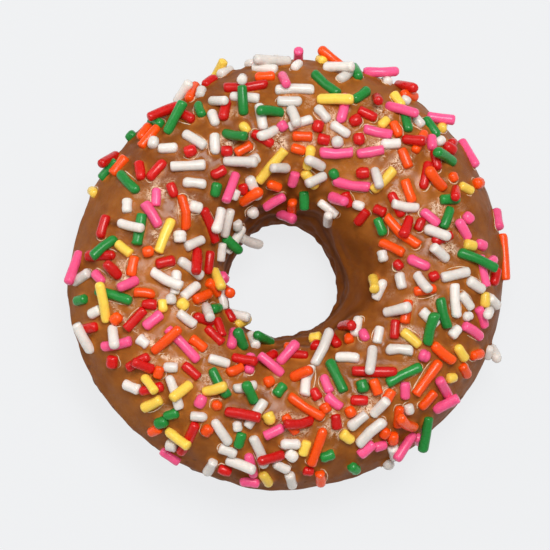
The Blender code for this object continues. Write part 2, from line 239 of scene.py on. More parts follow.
class GlazeSizes(PropertyGroup):
    """Sizes and colours of the caramel glaze."""

    thickness: length_property("Thickness", "Thickness of the glaze", GLAZE_THICKNESS)
    rounding: length_property("Edge rounding", "Width over which the edge rounds down", 1.5 * MM)
    swell: length_property("Swell", "Height of the slow swells in the glaze", 0.10 * MM)
    wrinkle: length_property("Wrinkle", "Height of the fine wrinkles", 0.035 * MM)
    rise: length_property("Rise", "Height of the glaze drawn up round each sprinkle", 0.34 * MM)
    rise_width: length_property("Rise width", "Width of that rise", 0.50 * MM)
    streak: length_property("Streaks", "Height of the streaks down in the hole", 0.24 * MM)
    light: colour_property("Light glaze", "Glaze where it is thin", (0.400, 0.130, 0.017))
    dark: colour_property("Dark glaze", "Glaze where it is thick", (0.215, 0.058, 0.007))
    # Painted light: an orange glow, as of light through the glaze, against each sprinkle
    warm: colour_property("Warm glaze", "Glaze drawn up against a sprinkle", (0.49, 0.152, 0.018))
    # deep: painted shade, the colour the glaze is darkened to down the flanks and in the hole
    deep: colour_property("Deep glaze", "Glaze down the flanks and in the hole", (0.155, 0.040, 0.004))
    # Pale: the colour of dried wrinkled skin, partly painted glints, and of the thin rims, whose
    # paleness is a painted highlight
    pale: colour_property("Pale glaze", "Dried crinkles and thin rims", (0.88, 0.66, 0.47))


class SprinkleSizes(PropertyGroup):
    """Sizes and colours of the sprinkles."""

    count: IntProperty(name="Count", description="Sprinkles in all", default=SPRINKLE_COUNT, min=0)
    bend: length_property("Bend", "Usual sideways bend of a sprinkle", 0.12 * MM)


SprinkleSizes.__annotations__.update({
    name: colour_property(name.capitalize(), name.capitalize() + " sprinkles", colour)
    for name, colour in COLOURS.items()
})


class StageSizes(PropertyGroup):
    """Floor, lights and camera."""

    floor_colour: colour_property("Floor", "Pale floor", (0.07, 0.071, 0.072))
    floor_glow: FloatProperty(name="Floor glow", description="Light given off by the floor",
                              default=0.80, min=0.0)
    room_light: FloatProperty(name="Room light", description="Strength of the even room light",
                              default=0.36, min=0.0)
    main_light: FloatProperty(name="Main light", description="Power of the large lamp",
                              default=5.2, min=0.0, unit="POWER")
    side_light: FloatProperty(name="Side light", description="Power of the side lamp",
                              default=0.9, min=0.0, unit="POWER")


def settings(name):
    """One of this add-on's property groups."""
    return getattr(bpy.context.scene, "doughnut_" + name)


def waves(angle, terms):
    """Sum of cosine waves round the ring, each with its count, height and first crest."""
    total = np.zeros_like(np.asarray(angle, dtype=float))
    for count, height, crest in terms:
        total = total + height * np.cos(count * (angle - np.radians(crest)))
    return total


def unit(vectors):
    """Vectors of length one in the same directions."""
    return vectors / np.linalg.norm(vectors, axis=-1, keepdims=True)


def glaze_edges(angle):
    """Section angles, in radians, where the glaze ends on the outer side and in the hole."""
    outer = OUTER_EDGE + waves(angle, OUTER_EDGE_WAVES)
    inner = INNER_EDGE + waves(angle, INNER_EDGE_WAVES)
    return np.radians(outer), np.radians(inner)


def crust(angle, section):
    """Point of the crust: a squared oval round the middle of the ring's band, cut flat below.

    The section's cosine and sine are raised to 2 over the squareness, and scaled to half the
    band's width and to the height above or below the widest place.
    """
    ring = settings("ring")
    outer = ring.outer_radius + waves(angle, OUTLINE_WAVES)
    hole = ring.hole_radius + waves(angle, HOLE_WAVES)
    crown = ring.crown_height + waves(angle, CROWN_WAVES)
    middle, half = (outer + hole) / 2, (outer - hole) / 2
    across, upward = np.cos(section), np.sin(section)
    power = 2 / np.where(upward > 0, TOP_SQUARENESS, UNDER_SQUARENESS)
    across = np.sign(across) * np.abs(across) ** power
    upward = np.sign(upward) * np.abs(upward) ** power
    widest, throat = ring.widest_height, ring.throat_height
    side = (widest + throat) / 2 + (widest - throat) / 2 * across
    reach = np.where(upward > 0, crown - side, side + FLAT_CUT)
    radius = middle + half * across
    return np.stack([
        RING_CENTRE[0] + radius * np.cos(angle),
        RING_CENTRE[1] + radius * np.sin(angle),
        np.maximum(side + reach * upward, 0.0),
    ], axis=-1)


def slopes(angle, section, step):
    """Differences of the crust over a small step along the ring and round the section."""
    along = crust(angle + step, section) - crust(angle - step, section)
    around = crust(angle, section + step) - crust(angle, section - step)
    return along, around


def crust_frame(angle, section):
    """Directions at a point of the crust: along the ring, round the section, and outward."""
    along, around = slopes(angle, section, 1e-4)
    along = unit(along)
    outward = unit(np.cross(along, around))
    return along, np.cross(outward, along), outward


def glaze(angle, section):
    """Point of the glaze's plain outer face: the crust's, moved outward by gap and thickness."""
    outward = crust_frame(angle, section)[2]
    return crust(angle, section) + (GAP + settings("glaze").thickness) * outward


def net(across, around, open_across=0, open_around=0):
    """Four-cornered faces over a grid of points, which closes on itself in each direction unless
    it is open by one there."""
    i, j = np.meshgrid(np.arange(across - open_across), np.arange(around - open_around), indexing="ij")
    k, m = (i + 1) % across, (j + 1) % around
    corners = [i * around + j, k * around + j, k * around + m, i * around + m]
    return np.stack(corners, axis=-1).reshape(-1, 4)


def glaze_tree():
    """Fine net of the glaze's outer face, for measuring how high a point is above it."""
    angle = np.linspace(0, 2 * np.pi, TREE_NET[0], endpoint=False)[:, None]
    outer, inner = glaze_edges(angle)
    section = outer + (inner - outer) * np.linspace(0, 1, TREE_NET[1])[None, :]
    points = glaze(angle + 0 * section, section).reshape(-1, 3)
    return BVHTree.FromPolygons(points.tolist(), net(*TREE_NET, 0, 1).tolist())


def height_above(tree, point):
    """Signed height of a point above the glaze."""
    nearest, normal, _, _ = tree.find_nearest(Vector(point))
    return (Vector(point) - nearest).dot(normal)


def segment_gap(start, end, starts, ends):
    """Shortest distance from one segment to each of several others."""
    steps = np.linspace(0, 1, 15)[:, None]
    line = start + (end - start) * steps
    span = ends - starts
    along = line[:, None, :] - starts[None]
    share = np.clip((along * span).sum(-1) / (span * span).sum(-1), 0, 1)
    return np.linalg.norm(along - share[..., None] * span[None], axis=-1).min(axis=0)


def column(rows, key):
    """One value of each sprinkle, as an array."""
    return np.array([row[key] for row in rows])


class Sprinkles:
    """The sprinkles laid so far: axis ends, radius and colour of each."""

    def __init__(self):
        self.tree = glaze_tree()
        self.rows = []

    def clear(self, start, end, radius, skip):
        """Whether the axis keeps most of both radii from every other axis but the skipped one."""
        rows = [row for number, row in enumerate(self.rows) if number != skip]
        gaps = segment_gap(start, end, column(rows, "start"), column(rows, "end"))
        return bool(np.all(gaps > CLEARANCE * (column(rows, "radius") + radius)))

    def add(self, start, end, radius, colour, kind):
        """Keep a sprinkle, with the glaze's outward direction under its middle."""
        outward = np.array(self.tree.find_nearest(Vector((start + end) / 2))[1])
        self.rows.append(dict(start=start, end=end, radius=radius, colour=colour, kind=kind,
                              outward=outward))

    def settle(self, start, end, radius, sink, outward):
        """Move a sprinkle along the outward direction until it is sunk as deep as asked."""
        for _ in range(3):
            heights = [height_above(self.tree, start + (end - start) * share)
                       for share in (0, 0.25, 0.5, 0.75, 1)]
            shift = (radius - sink - min(heights)) * outward
            start, end = start + shift, end + shift
        return start, end

    def lay(self, angle, section, heading, length, radius, sink, tilt=0.0):
        """Axis ends of a sprinkle lying on the glaze, or standing up from it by the tilt."""
        along, around, outward = crust_frame(angle, section)
        flat = np.cos(heading) * along + np.sin(heading) * around
        core = max(length - 2 * radius, 0.05 * MM)
        middle = glaze(angle, section)
        if tilt == 0.0:
            start, end = middle - flat * core / 2, middle + flat * core / 2
        else:
            direction = np.cos(tilt) * flat + np.sin(tilt) * outward
            start, end = middle, middle + direction * core
        return self.settle(start, end, radius, sink, outward)


def density(angle, section):
    """Share of full density at a place on the glaze."""
    share = 1.0
    for ring, across, ring_spread, across_spread, left_out in BARE_PATCHES:
        turn = (np.degrees(angle) - ring + 180) % 360 - 180
        off = (turn / ring_spread) ** 2 + ((np.degrees(section) - across) / across_spread) ** 2
        share *= 1 - left_out * np.exp(-off)
    return share if share > BARE_BELOW else 0.0


def random_place(draw):
    """Ring angle and section angle, spread evenly as seen from above and then thinned."""
    while True:
        angle = draw.uniform(0, 2 * np.pi)
        outer, inner = glaze_edges(angle)
        margin = np.radians(EDGE_MARGIN)
        section = draw.uniform(outer + margin, inner - margin)
        step = 1e-3
        patch = np.cross(*slopes(angle, section, step)) / (2 * step) ** 2
        area = 0.12 * np.linalg.norm(patch) + 0.88 * max(patch[2], 0.0)
        if draw.uniform() < density(angle, section) * area / (900 * MM * MM):
            return angle, section


def scatter():
    """All the sprinkles: those placed one by one, then the rest by a seeded rule, long ones first."""
    draw = np.random.default_rng(SEED)
    field = Sprinkles()
    for ring, across, heading, tilt, length, colour in PLACED:
        start, end = field.lay(np.radians(ring), np.radians(across), np.radians(heading),
                               length * MM, SPRINKLE_RADIUS, SINK, np.radians(tilt))
        field.add(start, end, SPRINKLE_RADIUS, colour, "placed")
    count = settings("sprinkles").count - len(field.rows)
    lengths = np.clip(draw.normal(LENGTH_MEAN, LENGTH_SPREAD, count), SHORTEST, LONGEST)
    stub = draw.uniform(size=count) < STUB_SHARE
    lengths = np.where(stub, draw.uniform(*STUB_LENGTHS, count), lengths)
    radii = SPRINKLE_RADIUS * draw.uniform(0.95, 1.05, count) * np.where(stub, 1.15, 1.0)
    kinds = draw.choice(["flat", "rider", "standing"], count,
                        p=[1 - RIDER_SHARE - STANDING_SHARE, RIDER_SHARE, STANDING_SHARE])
    least = np.select([kinds == "rider", kinds == "standing"], [RIDER_LEAST, STANDING_LEAST], 0.0)
    kinds = np.where(lengths < least, "flat", kinds)
    colours = draw.choice(list(COLOURS), count, p=COLOUR_SHARES)
    turns = np.where(kinds == "rider", RIDER_TURN, lengths)
    order = sorted(range(count), key=lambda n: -turns[n])
    hosts = set()
    for number in order:
        length, radius, kind = lengths[number], radii[number], kinds[number]
        for attempt in range(ATTEMPTS):
            if kind == "rider" and attempt == ATTEMPTS // 2:
                kind = "flat"
            sink = SINK + draw.uniform(-1, 1) * SINK_SPREAD
            heading = draw.uniform(0, np.pi)
            host = None
            if kind == "rider":
                host = int(draw.integers(len(field.rows)))
                spot = ride_over(field, host, hosts, length, radius, sink, draw)
                if spot is None:
                    continue
                start, end = spot
            else:
                angle, section = random_place(draw)
                tilt = draw.uniform(0.3, 0.75) if kind == "standing" else 0.0
                heading = draw.uniform(0, 2 * np.pi) if kind == "standing" else heading
                start, end = field.lay(angle, section, heading, length, radius, sink, tilt)
            if field.clear(start, end, radius, host):
                field.add(start, end, radius, str(colours[number]), str(kind))
                if host is not None:
                    hosts.add(host)
                break
    return field.rows


def ride_over(field, host, hosts, length, radius, sink, draw):
    """Axis ends of a sprinkle with one end on the glaze, lying across another sprinkle."""
    under = field.rows[host]
    if host in hosts or under["kind"] == "rider" or under["kind"] == "standing":
        return None
    across = under["start"] + (under["end"] - under["start"]) * draw.uniform(0.1, 0.9)
    outward = np.array(field.tree.find_nearest(Vector(across))[1])
    axis = unit(under["end"] - under["start"])
    side = np.cross(outward, axis)
    turn = draw.uniform(-0.7, 0.7)
    flat = (side * np.cos(turn) + axis * np.sin(turn)) * draw.choice([-1, 1])
    flat = unit(flat - outward * flat.dot(outward))
    core = length - 2 * radius
    reach = min(draw.uniform(0.55, 0.9) * core + 0.9 * MM, core)
    top = across + outward * (under["radius"] + radius) * CLEARANCE
    low = top - flat * reach
    drop = height_above(field.tree, low) - (radius - sink)
    low = low - outward * drop
    direction = unit(top - low)
    if direction.dot(outward) > 0.68 or np.linalg.norm(top - low) > core + 0.3 * MM:
        return None
    end = low + direction * core
    if height_above(field.tree, end) < 0.5 * radius:
        return None
    return low, end


def unevenness(points, length, seed, count=30):
    """Smooth random field of unit spread: a sum of plane cosine waves in random directions, with
    lengths from 0.75 to 1.4 times the one asked for."""
    draw = np.random.default_rng(seed)
    way = unit(draw.normal(size=(count, 3)))
    pace = 2 * np.pi / (length * draw.uniform(0.75, 1.4, count))
    phase = draw.uniform(0, 2 * np.pi, count)
    flat = points.reshape(-1, 3) @ (way * pace[:, None]).T + phase
    return (np.cos(flat).sum(axis=1) * np.sqrt(2 / count)).reshape(points.shape[:-1])


def relief(points, fields):
    """Sum of random fields, each with its share, length and seed."""
    return sum(share * unevenness(points, length, seed) for share, length, seed in fields)


def smooth_step(value):
    """0 below 0, 1 above 1, and a smooth rise between: three squares less two cubes."""
    value = np.clip(value, 0, 1)
    return value * value * (3 - 2 * value)


def repeated(faces, count, points):
    """The same faces for a number of copies, each of so many points."""
    return (faces + (np.arange(count) * points)[:, None, None]).reshape(-1, faces.shape[1]).tolist()


def mesh_from(name, points, faces):
    """Smooth mesh from an array of points and its faces."""
    mesh = bpy.data.meshes.new(name)
    mesh.from_pydata(points.reshape(-1, 3).tolist(), [], faces)
    mesh.shade_smooth()
    return mesh


def paint(mesh, name, values):
    """Store one number for each point of a mesh, for its material to read."""
    layer = mesh.attributes.new(name, "FLOAT", "POINT")
    layer.data.foreach_set("value", np.asarray(values, dtype=np.float32).reshape(-1))


def place(mesh, node, material):
    """Make an object of a mesh, in the place of a solid, with its material."""
    piece = bpy.data.objects.new(mesh.name, mesh)
    bpy.context.scene.collection.objects.link(piece)
    mesh.materials.append(material)
    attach(piece, "root")
    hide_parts(node)


def tinted(colour, share):
    """A colour times a share, lighter above one and darker below it."""
    return tuple(min(share * part, 1.0) for part in colour)


class Material:
    """A node material being put together, with short ways to add and join its nodes."""

    def __init__(self, name):
        self.material = bpy.data.materials.new(name)
        self.material.use_nodes = True
        self.tree = self.material.node_tree
        self.shader = self.tree.nodes["Principled BSDF"]
        self.spot = self.add("ShaderNodeTexCoord").outputs["Object"]

    def add(self, kind, **values):
        node = self.tree.nodes.new(kind)
        for name, value in values.items():
            setattr(node, name, value)
        return node

    def put(self, socket, value):
        """Give a socket a value, or join another node's output to it."""
        if isinstance(value, bpy.types.NodeSocket):
            self.tree.links.new(value, socket)
        else:
            socket.default_value = value

    def feed(self, node, **values):
        """Put values or outputs into a node's sockets of these names."""
        for name, value in values.items():
            self.put(node.inputs[name.replace("_", " ")], value)

    def set(self, **values):
        """Put values or outputs into the shader's sockets."""
        self.feed(self.shader, **values)

    def stored(self, name):
        return self.add("ShaderNodeAttribute", attribute_name=name).outputs["Fac"]

    def noise(self, scale, detail, roughness=0.55, distortion=0.0):
        node = self.add("ShaderNodeTexNoise")
        self.feed(node, Vector=self.spot, Scale=scale, Detail=detail, Roughness=roughness,
                  Distortion=distortion)
        return node.outputs["Fac"]

    def cells(self, scale):
        node = self.add("ShaderNodeTexVoronoi")
        self.feed(node, Vector=self.spot, Scale=scale)
        return node.outputs["Distance"]

    def ranged(self, value, low, high, to_low=0.0, to_high=1.0, smooth=True):
        """A value taken from one range to another, and held at its ends."""
        course = "SMOOTHSTEP" if smooth else "LINEAR"
        node = self.add("ShaderNodeMapRange", interpolation_type=course)
        self.feed(node, Value=value, From_Min=low, From_Max=high, To_Min=to_low, To_Max=to_high)
        return node.outputs["Result"]

    def maths(self, operation, first, second):
        """Two values or numbers put together by a sum, product, difference or the like."""
        node = self.add("ShaderNodeMath", operation=operation)
        self.put(node.inputs[0], first)
        self.put(node.inputs[1], second)
        return node.outputs["Value"]

    def blend(self, share, first, second):
        """A share of the way from the first colour to the second."""
        node = self.add("ShaderNodeMix", data_type="RGBA")
        self.feed(node, Factor=share)
        for socket, value in ((node.inputs[6], first), (node.inputs[7], second)):
            made = isinstance(value, bpy.types.NodeSocket)
            self.put(socket, value if made else (*value, 1.0))
        return node.outputs[2]

    def bump(self, height, distance, strength, before=None):
        """Normal of a fine relief, on top of the one before."""
        node = self.add("ShaderNodeBump")
        self.feed(node, Strength=strength, Distance=distance, Height=height)
        if before is not None:
            self.feed(node, Normal=before)
        return node.outputs["Normal"]


def crust_material():
    """Browned crust: mottled brown, with painted shade in its pores, paler towards the risen side."""
    ring = settings("ring")
    made = Material("crust")
    mottle = made.ranged(made.noise(420, 5, 0.62), 0.36, 0.66)
    brown = made.blend(mottle, tinted(ring.crust, 0.62), tinted(ring.crust, 1.35))
    pale = made.blend(mottle, tinted(ring.risen, 0.68), tinted(ring.risen, 1.22))
    patches = made.ranged(made.maths("ADD", made.stored("risen"), made.noise(130, 3)), 0.62, 1.25)
    colour = made.blend(patches, brown, pale)
    specks = made.ranged(made.noise(1900, 4, 0.7), 0.58, 0.72)
    dark = made.blend(specks, colour, tinted(ring.crust, 0.38))
    # Painted shade: darker in the open pores
    pore_shade = made.ranged(made.stored("pore"), 0.15, 0.9)
    made.set(Base_Color=made.blend(pore_shade, dark, tinted(ring.crust, 0.30)))
    made.set(Roughness=made.ranged(made.noise(300, 3), 0.3, 0.7, 0.60, 0.82))
    grain = made.bump(made.noise(2600, 5, 0.68), 0.10 * MM, 0.9)
    made.set(Normal=made.bump(made.cells(900), 0.16 * MM, 0.55, grain))
    made.set(Specular_IOR_Level=0.2)
    return made.material


def glaze_material():
    """Caramel glaze: golden brown, with painted shade down the flanks, in the hole and in its streaks,
    a painted orange glow of light against the sprinkles, and pale wrinkled skin: dried sugar and
    painted glints."""
    sizes = settings("glaze")
    made = Material("caramel_glaze")
    broad = made.ranged(made.noise(75, 3, 0.5), 0.30, 0.72)
    fine = made.ranged(made.noise(520, 4, 0.6), 0.32, 0.70)
    mottle = made.maths("ADD", made.maths("MULTIPLY", broad, 0.6), made.maths("MULTIPLY", fine, 0.4))
    colour = made.blend(made.maths("ADD", mottle, made.stored("tone")), sizes.dark, sizes.light)
    # Painted shade: darker towards the deep colour down the flanks and into the hole
    shaded = made.blend(made.stored("flank"), colour, sizes.deep)
    # Painted shade in the troughs of the streaks, in the pressed groove and in the pits
    groove_shaded = made.blend(made.stored("streak"), shaded, tinted(sizes.deep, 0.64))
    # Painted light: an orange glow against the sprinkles, in cloudy patches
    clouds = made.ranged(made.noise(260, 2), 0.38, 0.62, 0.15, 0.85)
    close = made.maths("MULTIPLY", made.ranged(made.stored("drawn_up"), 0.03, 0.80), clouds)
    warm = made.blend(close, groove_shaded, sizes.warm)
    # Pale wrinkled skin on the crown: partly dried sugar, partly painted glints of the lamp
    skin = made.noise(1250, 5, 0.62, 0.8)
    crease = made.maths("ABSOLUTE", made.maths("SUBTRACT", skin, 0.5), 0.0)
    crinkle_glint = made.stored("crinkle_glint")
    lace = made.maths("MULTIPLY", made.ranged(crease, 0.060, 0.015), crinkle_glint)
    cloudy = made.ranged(made.noise(900, 5, 0.75), 0.50, 0.60, 0.0, 0.80)
    haze = made.maths("MULTIPLY", cloudy, crinkle_glint)
    share = made.maths("MAXIMUM", haze, lace)
    made.set(Base_Color=made.blend(share, warm, sizes.pale))
    dry = made.ranged(made.noise(190, 4, 0.6), 0.42, 0.62)
    worn = made.maths("MULTIPLY", made.stored("flank"), 0.55)
    made.set(Roughness=made.maths("ADD", made.ranged(dry, 0, 1, 0.20, 0.34), worn))
    patch = made.maths("MAXIMUM", made.ranged(made.noise(110, 2), 0.44, 0.64, 0.0, 0.5), crinkle_glint)
    creased = made.maths("MULTIPLY", crease, patch)
    normal = made.bump(creased, 0.60 * MM, 0.7, made.bump(made.noise(420, 3), 0.16 * MM, 0.5))
    made.set(Normal=normal)
    gloss = made.ranged(made.stored("flank"), 0.0, 0.75, 0.20, 0.06, smooth=False)
    made.set(Specular_IOR_Level=gloss)
    made.set(Subsurface_Weight=0.12, Subsurface_Scale=0.8 * MM,
             Subsurface_Radius=(1.0, 0.45, 0.2))
    return made.material


def rim_material():
    """Thin rims of glaze, paler than the coat as a painted highlight, with small clouds in them."""
    sizes = settings("glaze")
    made = Material("rim_highlight")
    cloud = made.ranged(made.noise(1100, 3, 0.6), 0.35, 0.65)
    brown = tuple(0.5 * a + 0.5 * b for a, b in zip(sizes.pale, sizes.light))
    made.set(Base_Color=made.blend(cloud, brown, sizes.pale))
    made.set(Normal=made.bump(made.noise(2400, 3), 0.05 * MM, 0.6))
    made.set(Roughness=0.25, Specular_IOR_Level=0.4, Subsurface_Weight=0.2, Subsurface_Scale=0.4 * MM)
    return made.material


def sprinkle_material(name, colour):
    """Pressed sugar: nearly even colour, a little different on each sprinkle, with a soft gloss."""
    made = Material("sugar_" + name)
    shade = made.stored("shade")
    deep = tinted(colour, 0.86)
    light = tuple(min(1.08 * c + 0.004, 1.0) for c in colour)
    each = made.blend(shade, deep, light)
    cloud = made.ranged(made.noise(900, 3, 0.6), 0.35, 0.68)
    made.set(Base_Color=made.blend(cloud, made.blend(shade, tinted(deep, 0.93), colour), each))
    made.set(Roughness=made.ranged(made.noise(1400, 3), 0.35, 0.65, 0.24, 0.40))
    made.set(Normal=made.bump(made.noise(1900, 4, 0.6), 0.05 * MM, 0.6))
    made.set(Specular_IOR_Level=0.26, Coat_Weight=0.28, Coat_Roughness=0.20,
             Subsurface_Weight=0.22, Subsurface_Scale=0.5 * MM,
             Subsurface_Radius=(1.0, 0.7, 0.55))
    return made.material


def make_crust():
    """The baked ring's whole skin.

    Each point of the crust is moved along the outward direction by a sum of random fields and by
    round bowls for the pores, both fading out where the glaze lies over it.
    """
    ring = settings("ring")
    angle = np.linspace(0, 2 * np.pi, CRUST_STATIONS, endpoint=False)[:, None]
    outer, inner = glaze_edges(angle)
    covered = np.linspace(0, 1, COVERED_STEPS, endpoint=False)[None, :]
    bare = np.linspace(0, 1, BARE_STEPS, endpoint=False)[None, :]
    section = np.concatenate([outer + (inner - outer) * covered,
                              inner + (outer + 2 * np.pi - inner) * bare], axis=1)
    angle = angle + 0 * section
    open_share = np.concatenate([0 * covered, np.minimum(bare, 1 - bare) * 30], axis=1)
    fade = smooth_step(open_share + 0 * section)
    points = crust(angle, section)
    outward = crust_frame(angle, section)[2]
    pore = pores(points, fade, ring.pore_count, PORE_SIZE)
    lift = fade * ring.relief * (relief(points, CRUST_FIELDS) - CRUST_DROP) - PORE_DEPTH * pore
    moved = points + lift[..., None] * outward
    moved[..., 2] = np.maximum(moved[..., 2], 0.0)
    mesh = mesh_from("crust_skin", moved, net(*moved.shape[:2]).tolist())
    paint(mesh, "risen", 1 - smooth_step((points[..., 2] - 1.5 * MM) / (7.0 * MM)))
    paint(mesh, "pore", pore)
    place(mesh, "cake", crust_material())


def pores(points, fade, count, largest):
    """Depth share of open pores: for each, a bowl falling off with the square of the distance."""
    draw = np.random.default_rng(31)
    flat = points.reshape(-1, 3)
    cover = fade.reshape(-1)
    bare = np.flatnonzero(cover > 0.5)
    depth = np.zeros(len(flat))
    for number in draw.choice(bare, count):
        size = draw.uniform(0.35, 1.0) ** 2 * largest + 0.15 * MM
        near = np.linalg.norm(flat - flat[number], axis=1) / size
        bowl = draw.uniform(0.4, 1.0) * np.clip(1 - near * near, 0, 1)
        depth = np.maximum(depth, bowl)
    return (depth * cover).reshape(points.shape[:-1])


def drawn_up(points, rows):
    """Share of the full rise at each point: one at a sprinkle, falling off as an exponential of
    the gap to the nearest one."""
    width = settings("glaze").rise_width
    flat = points.reshape(-1, 3)
    share = np.zeros(len(flat))
    for row in rows:
        start, end, radius = row["start"], row["end"], row["radius"]
        reach = np.linalg.norm(end - start) / 2 + radius + 5 * width
        near = np.flatnonzero(np.linalg.norm(flat - (start + end) / 2, axis=1) < reach)
        span = end - start
        along = flat[near] - start
        part = np.clip(along @ span / (span @ span), 0, 1)
        gap = np.linalg.norm(along - part[:, None] * span, axis=1) - radius
        share[near] = np.maximum(share[near], np.exp(-np.maximum(gap, 0) / width))
    return share.reshape(points.shape[:-1])


def crinkles(face, section, meniscus):
    """Share of dried skin, painted pale partly as glints, at each point: round spots and wavy lines
    falling off with the square of the distance, and random patches on the crown, thickest close to a
    sprinkle."""
    crown = np.exp(-((np.degrees(section) - 88) / 26) ** 2)
    patch = smooth_step((unevenness(face, 4.2 * MM, 46) - 1.15) / 0.6)
    share = 0.75 * crown * patch * (0.25 + 0.75 * meniscus ** 0.5)
    ragged = 0.75 + 0.35 * unevenness(face, 1.5 * MM, 47)
    for ring, across, radius in CRINKLE_GLINT_SPOTS:
        middle = glaze(np.radians(ring), np.radians(across))
        far = np.linalg.norm(face - middle, axis=-1) / (radius * MM)
        share = np.maximum(share, smooth_step(1.35 * ragged * np.exp(-far * far)))
    way = np.linspace(0, 1, 40)
    for ring, across, last_ring, last_across, width in CREASE_GLINT_LINES:
        bearing = np.radians(ring + (last_ring - ring) * way)
        height = np.radians(across + (last_across - across) * way + 1.6 * np.sin(9 * way + ring))
        line = glaze(bearing, height)
        far = np.min([np.linalg.norm(face - point, axis=-1) for point in line], axis=0) / width
        share = np.maximum(share, smooth_step(1.5 * ragged * np.exp(-far * far)))
    return share


def groove_depth(face):
    """Share of the groove's depth: a long flat-ended hollow across the flank."""
    ring, across, length, width, _ = GROOVE
    spot = (np.radians(ring), np.radians(across))
    along, around, _ = crust_frame(*spot)
    offset = face - glaze(*spot)
    bent = offset @ along + 0.10 * np.sin(offset @ around / (0.9 * MM)) * width
    return np.exp(-(offset @ around / (0.52 * length)) ** 4 - (bent / (0.55 * width)) ** 2)


def make_glaze(rows):
    """The glaze as one closed skin.

    Its outer face is the crust raised by a height that rises from nothing at each edge as a
    quarter of a circle, plus slow swells, fine wrinkles, a bead along the edges, streaks and small
    lumps down in the hole, and the glaze drawn up against each sprinkle, less the groove and the
    pits. Its inner face lies just above the crust. Gives the points and outward directions of its
    outer face.
    """
    sizes = settings("glaze")
    full = GAP + sizes.thickness
    edge = sizes.rounding / GLAZE_REACH * np.array([0.0, 0.03, 0.12, 0.28, 0.50, 0.74])
    middle = np.linspace(sizes.rounding / GLAZE_REACH, 1 - sizes.rounding / GLAZE_REACH, TOP_STEPS)
    out = np.concatenate([edge, middle, 1 - edge[::-1]])
    back = np.linspace(1, 0, UNDER_STEPS)[1:-1]
    share = np.concatenate([out, back])[None, :]
    inside = np.concatenate([0 * out, 0 * back + 1])[None, :]
    angle = np.linspace(0, 2 * np.pi, GLAZE_STATIONS, endpoint=False)[:, None]
    outer, inner = glaze_edges(angle)
    section = outer + (inner - outer) * share
    angle = angle + 0 * section
    base = crust(angle, section)
    outward = crust_frame(angle, section)[2]
    gap = np.minimum(share, 1 - share) * GLAZE_REACH / sizes.rounding
    rise = np.sqrt(np.clip(1 - (1 - np.clip(gap, 0, 1)) ** 2, 0, 1)) + 0 * section
    face = base + full * outward
    drape = smooth_step((section - np.radians(124)) / 0.40)
    sway = 1.5 * unevenness(face, 12 * MM, 43) + 1.4 * np.sin(2 * angle + 0.6)
    bands = 0.75 * np.sin(12.5 * section + sway) + 0.35 * np.sin(31 * section + 2.1 * sway + 1.0)
    wrinkle = 1 - np.abs(unevenness(face, 1.7 * MM, 44, 40))
    patch = smooth_step(unevenness(face, 8 * MM, 45) * 0.8 + 0.45)
    meniscus = drawn_up(face, rows)
    dent = groove_depth(face)
    low = smooth_step(gap - 0.2) * (1 - smooth_step(gap - 2.6)) * (share < 0.5) + 0 * section
    pits = pores(face, low, PIT_COUNT, PIT_SIZE)
    bead = BEAD_HEIGHT * np.exp(-((gap - 1.0) / 0.55) ** 2)
    throat = smooth_step((np.degrees(section) - 148) / 26)
    height = full + sizes.swell * relief(face, SWELL_FIELDS) + sizes.wrinkle * wrinkle * patch + bead
    height = height + sizes.streak * drape * bands + sizes.rise * meniscus
    height = height + throat * relief(face, THROAT_FIELD) - GROOVE[4] * dent - PIT_DEPTH * pits
    under = 0.12 * MM * smooth_step(gap * 0.6)
    height = np.where(inside > 0, under, rise * height) - 0.02 * MM
    points = base + height[..., None] * outward
    mesh = mesh_from("glaze_coat", points, net(*points.shape[:2]).tolist())
    paint(mesh, "drawn_up", meniscus * (1 - inside))
    paint(mesh, "tone", waves(angle, TONE_WAVES))
    # Share of painted shade down the outer side and into the hole; it also makes the glaze rougher and
    # less glossy there
    rim = smooth_step((np.cos(section) - 0.35) / 0.65)
    hole = smooth_step((np.degrees(section) - 100) / 75)
    paint(mesh, "flank", 0.46 * rim + 0.80 * hole)
    # Share of painted shade in the troughs of the streaks, in the groove and in the pits
    streak = drape * smooth_step((-bands - 0.10) / 0.8)
    streak = np.maximum(0.75 * streak, 0.85 * dent)
    paint(mesh, "streak", np.maximum(streak, 0.8 * smooth_step(pits * 1.6)))
    # Share of dried wrinkled skin, painted pale partly as glints
    paint(mesh, "crinkle_glint", crinkles(face, section, meniscus) * (1 - inside))
    place(mesh, "icing", glaze_material())
    return points[:, :len(out)], outward[:, :len(out)]


